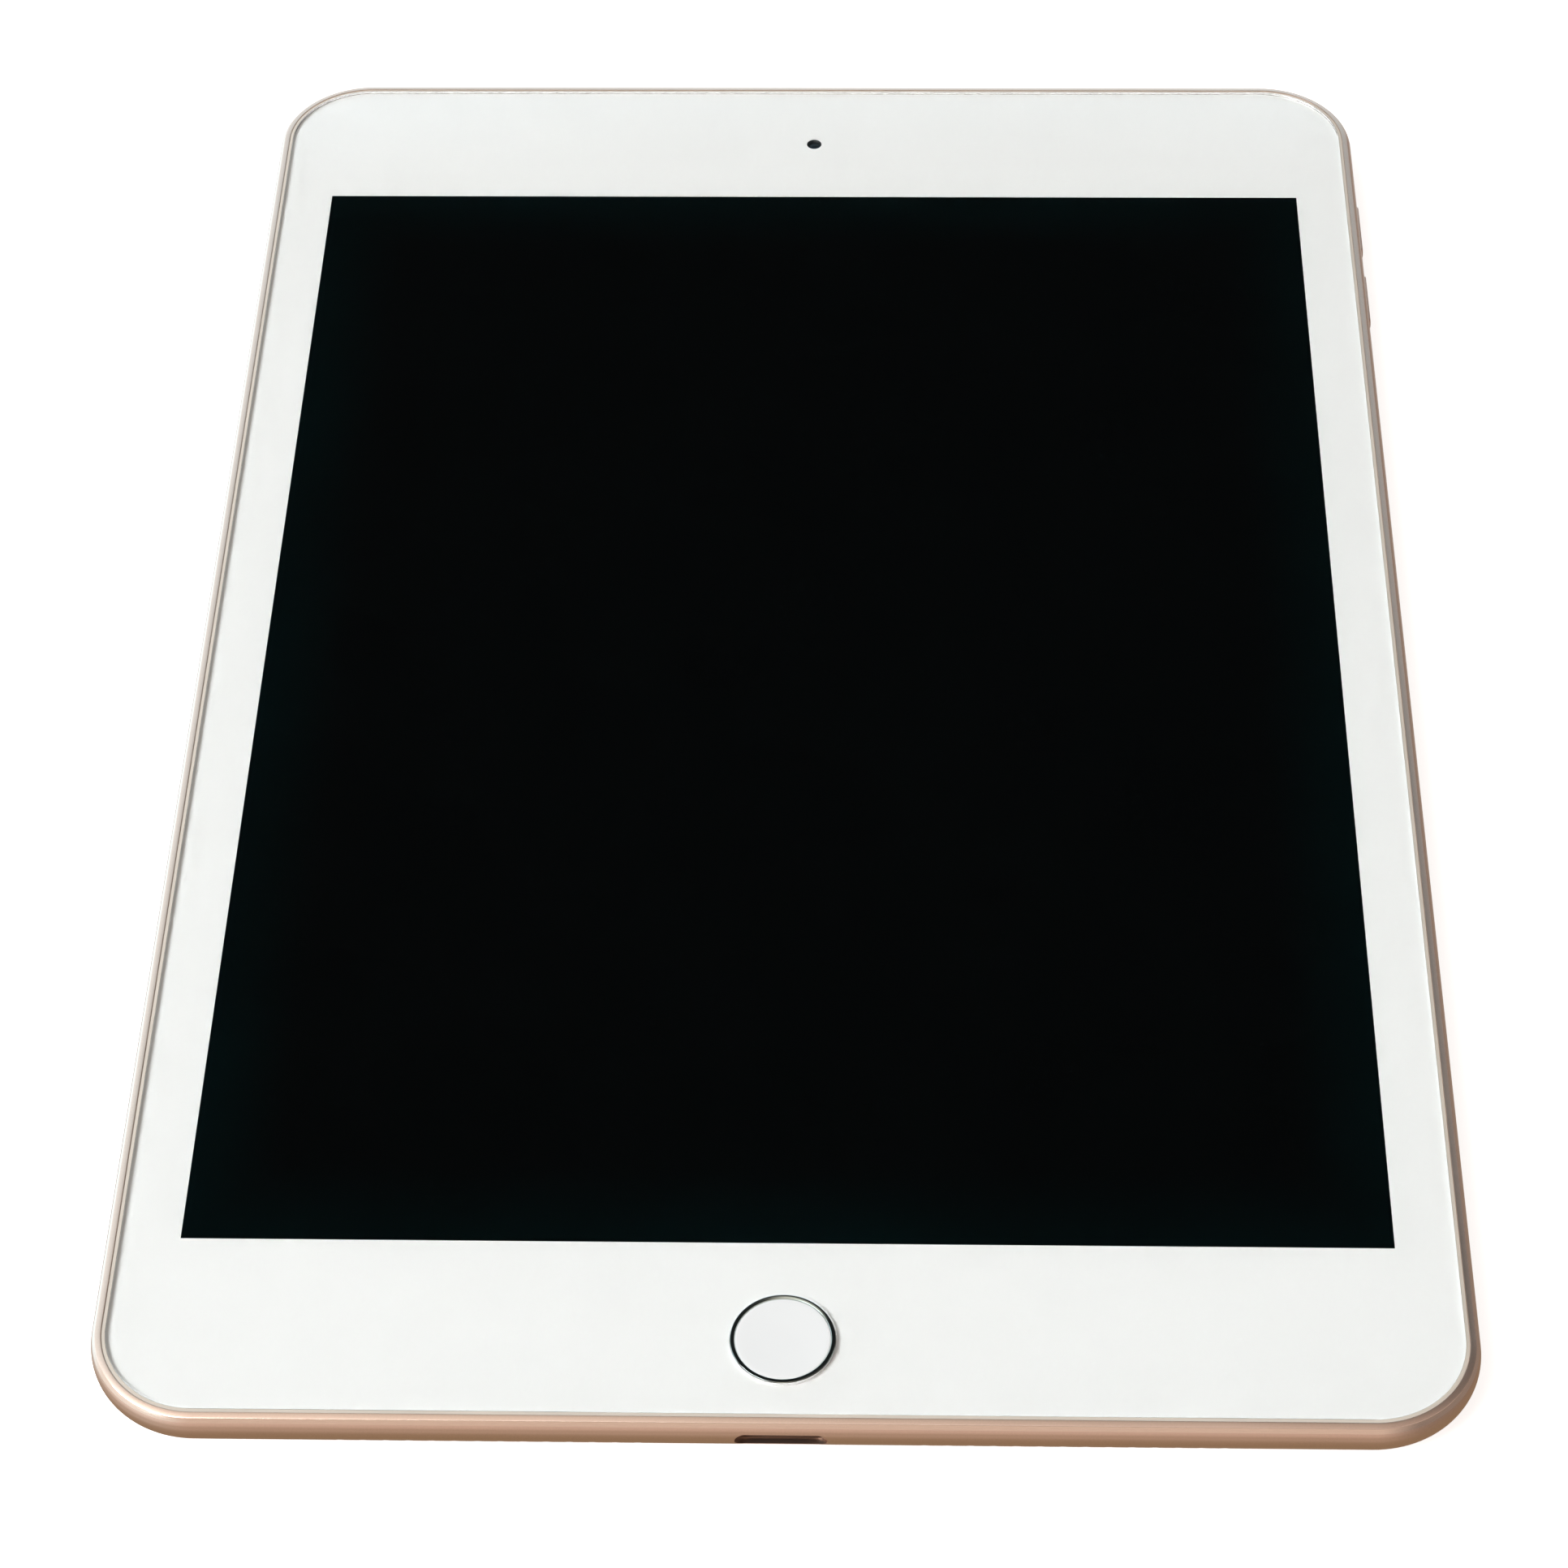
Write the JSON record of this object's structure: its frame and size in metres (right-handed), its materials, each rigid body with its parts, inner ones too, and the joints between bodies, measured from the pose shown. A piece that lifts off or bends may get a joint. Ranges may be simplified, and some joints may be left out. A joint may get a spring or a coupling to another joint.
{
  "type": "tablet computer",
  "caption": "Slim slate tablet with rounded aluminium back shell, glass front with white border and dark screen, round front button, side keys, cameras, audio jack and charging socket.",
  "frame": {"origin": "centre of the flat back, which is the face the tablet lies on", "axes": "+Z out of the screen, +Y towards the end with the front camera, +X to the right of someone looking at the screen"},
  "size_m": [0.135, 0.2034, 0.0061],
  "materials": {
    "anodised_aluminium": "bead-blasted gold anodising, polished chamfer",
    "clear_glass": "polished",
    "white_ink": "white ink printed under glass",
    "white_plastic": "satin",
    "black_adhesive": "matt",
    "black_display": "gloss black when switched off",
    "white_film": "diffusing film stack",
    "stainless_steel": "satin rolled sheet",
    "screw_steel": "dark nickel",
    "socket_steel": "satin",
    "circuit_board": "solder mask",
    "flex_film": "polyimide film",
    "white_cap": "gloss",
    "polished_ring": "polished steel",
    "black_plastic": "fine matt",
    "cell_pouch": "laminated pouch",
    "chip_package": "moulded epoxy",
    "gold_contact": "gold flash",
    "black_mesh": "woven mesh",
    "jack_plastic": "moulded white",
    "cable_jacket": "smooth",
    "magnet_plating": "nickel plate"
  },
  "bodies": {
    "housing": {"antenna": "black_plastic", "antenna_cable": "cable_jacket", "battery_board": "circuit_board", "battery_cell_left": "cell_pouch", "battery_cell_right": "cell_pouch", "battery_flex": "flex_film", "bezel_mask": "white_ink", "board_components": "chip_package", "board_connectors": "black_plastic", "board_screws": "screw_steel", "bracket_screws": "screw_steel", "button_switches": "black_plastic", "camera_flexes": "flex_film", "charging_contacts": "gold_contact", "charging_flex": "flex_film", "charging_socket": "socket_steel", "cover_glass": "clear_glass", "cover_magnets": "magnet_plating", "display_backlight": "white_film", "display_driver_board": "circuit_board", "display_flex": "flex_film", "display_panel": "black_display", "display_rear_pan": "stainless_steel", "front_camera": "black_plastic", "front_camera_lens": "clear_glass", "glass_adhesive": "black_adhesive", "glass_surround": "white_plastic", "headphone_jack": "jack_plastic", "home_button_bracket": "stainless_steel", "home_button_dome": "stainless_steel", "home_button_flex": "flex_film", "home_button_gasket": "black_adhesive", "left_speaker": "black_plastic", "light_sensor": "black_plastic", "main_board": "circuit_board", "microphones": "socket_steel", "power_bracket": "stainless_steel", "power_button_dome": "stainless_steel", "power_flex": "flex_film", "power_shield": "stainless_steel", "processor_chip": "chip_package", "processor_shield": "stainless_steel", "radio_shield": "stainless_steel", "rear_camera": "black_plastic", "rear_camera_trim": "anodised_aluminium", "rear_camera_window": "clear_glass", "rear_housing": "anodised_aluminium", "right_speaker": "black_plastic", "speaker_meshes": "black_mesh", "storage_chip": "chip_package", "volume_bracket": "stainless_steel", "volume_down_dome": "stainless_steel", "volume_flex": "flex_film", "volume_up_dome": "stainless_steel"},
    "home_button": {"home_button_cap": "white_cap", "home_button_ring": "polished_ring", "home_button_carrier": "white_plastic"},
    "power_button": {"power_button": "anodised_aluminium"},
    "volume_up_button": {"volume_up_button": "anodised_aluminium"},
    "volume_down_button": {"volume_down_button": "anodised_aluminium"}
  },
  "joints": [
    {"name": "home_press", "type": "slide", "parent": "housing", "child": "home_button", "axis": [0, 0, -1], "range_m": [0, 0.00025], "stiffness_N_per_m": 6000, "deforming": ["home_button_dome"]},
    {"name": "power_press", "type": "slide", "parent": "housing", "child": "power_button", "axis": [0, -1, 0], "range_m": [0, 0.00025], "stiffness_N_per_m": 6000, "deforming": ["power_button_dome"]},
    {"name": "volume_up_press", "type": "slide", "parent": "housing", "child": "volume_up_button", "axis": [-1, 0, 0], "range_m": [0, 0.00025], "stiffness_N_per_m": 6000, "deforming": ["volume_up_dome"]},
    {"name": "volume_down_press", "type": "slide", "parent": "housing", "child": "volume_down_button", "axis": [-1, 0, 0], "range_m": [0, 0.00025], "stiffness_N_per_m": 6000, "deforming": ["volume_down_dome"]}
  ]
}
